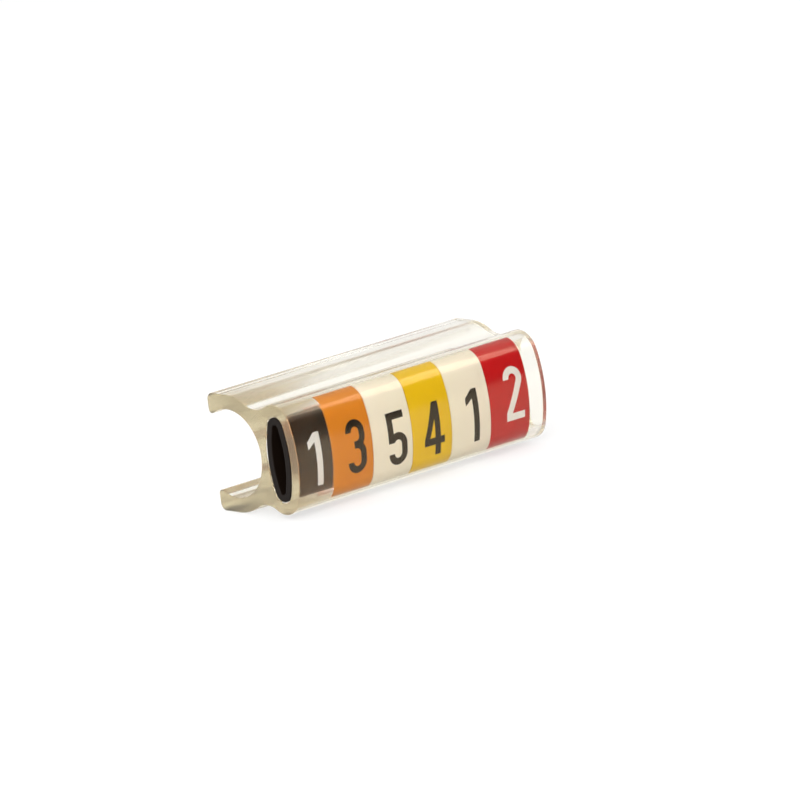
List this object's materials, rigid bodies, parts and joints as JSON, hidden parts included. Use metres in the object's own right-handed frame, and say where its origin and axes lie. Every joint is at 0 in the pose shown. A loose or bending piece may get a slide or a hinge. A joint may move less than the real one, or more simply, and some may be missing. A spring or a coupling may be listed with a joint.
{
  "type": "cable marker",
  "caption": "Clear extruded clip-on cable marker carrier with a row of coloured oval number sleeves in its pocket.",
  "frame": {"origin": "on the axis of the round cable seat, half way along the carrier", "axes": "+X along the cable, in the direction the numbers read; the numbers face -Y and the open mouth of the clip faces +Y; +Z is the top of the numbers"},
  "size_m": [0.0152, 0.006, 0.0056],
  "materials": {
    "clear_pvc": "clear, slightly yellowed, smooth as extruded",
    "marker_black": "satin",
    "marker_orange": "satin",
    "marker_white": "satin",
    "marker_yellow": "satin",
    "marker_red": "satin",
    "print_black": "matte ink",
    "print_white": "matte ink"
  },
  "bodies": {
    "root": {"carrier": "clear_pvc", "marker_black_1": "marker_black", "marker_orange_3": "marker_orange", "marker_white_5": "marker_white", "marker_yellow_4": "marker_yellow", "marker_white_1": "marker_white", "marker_red_2": "marker_red"}
  },
  "joints": []
}
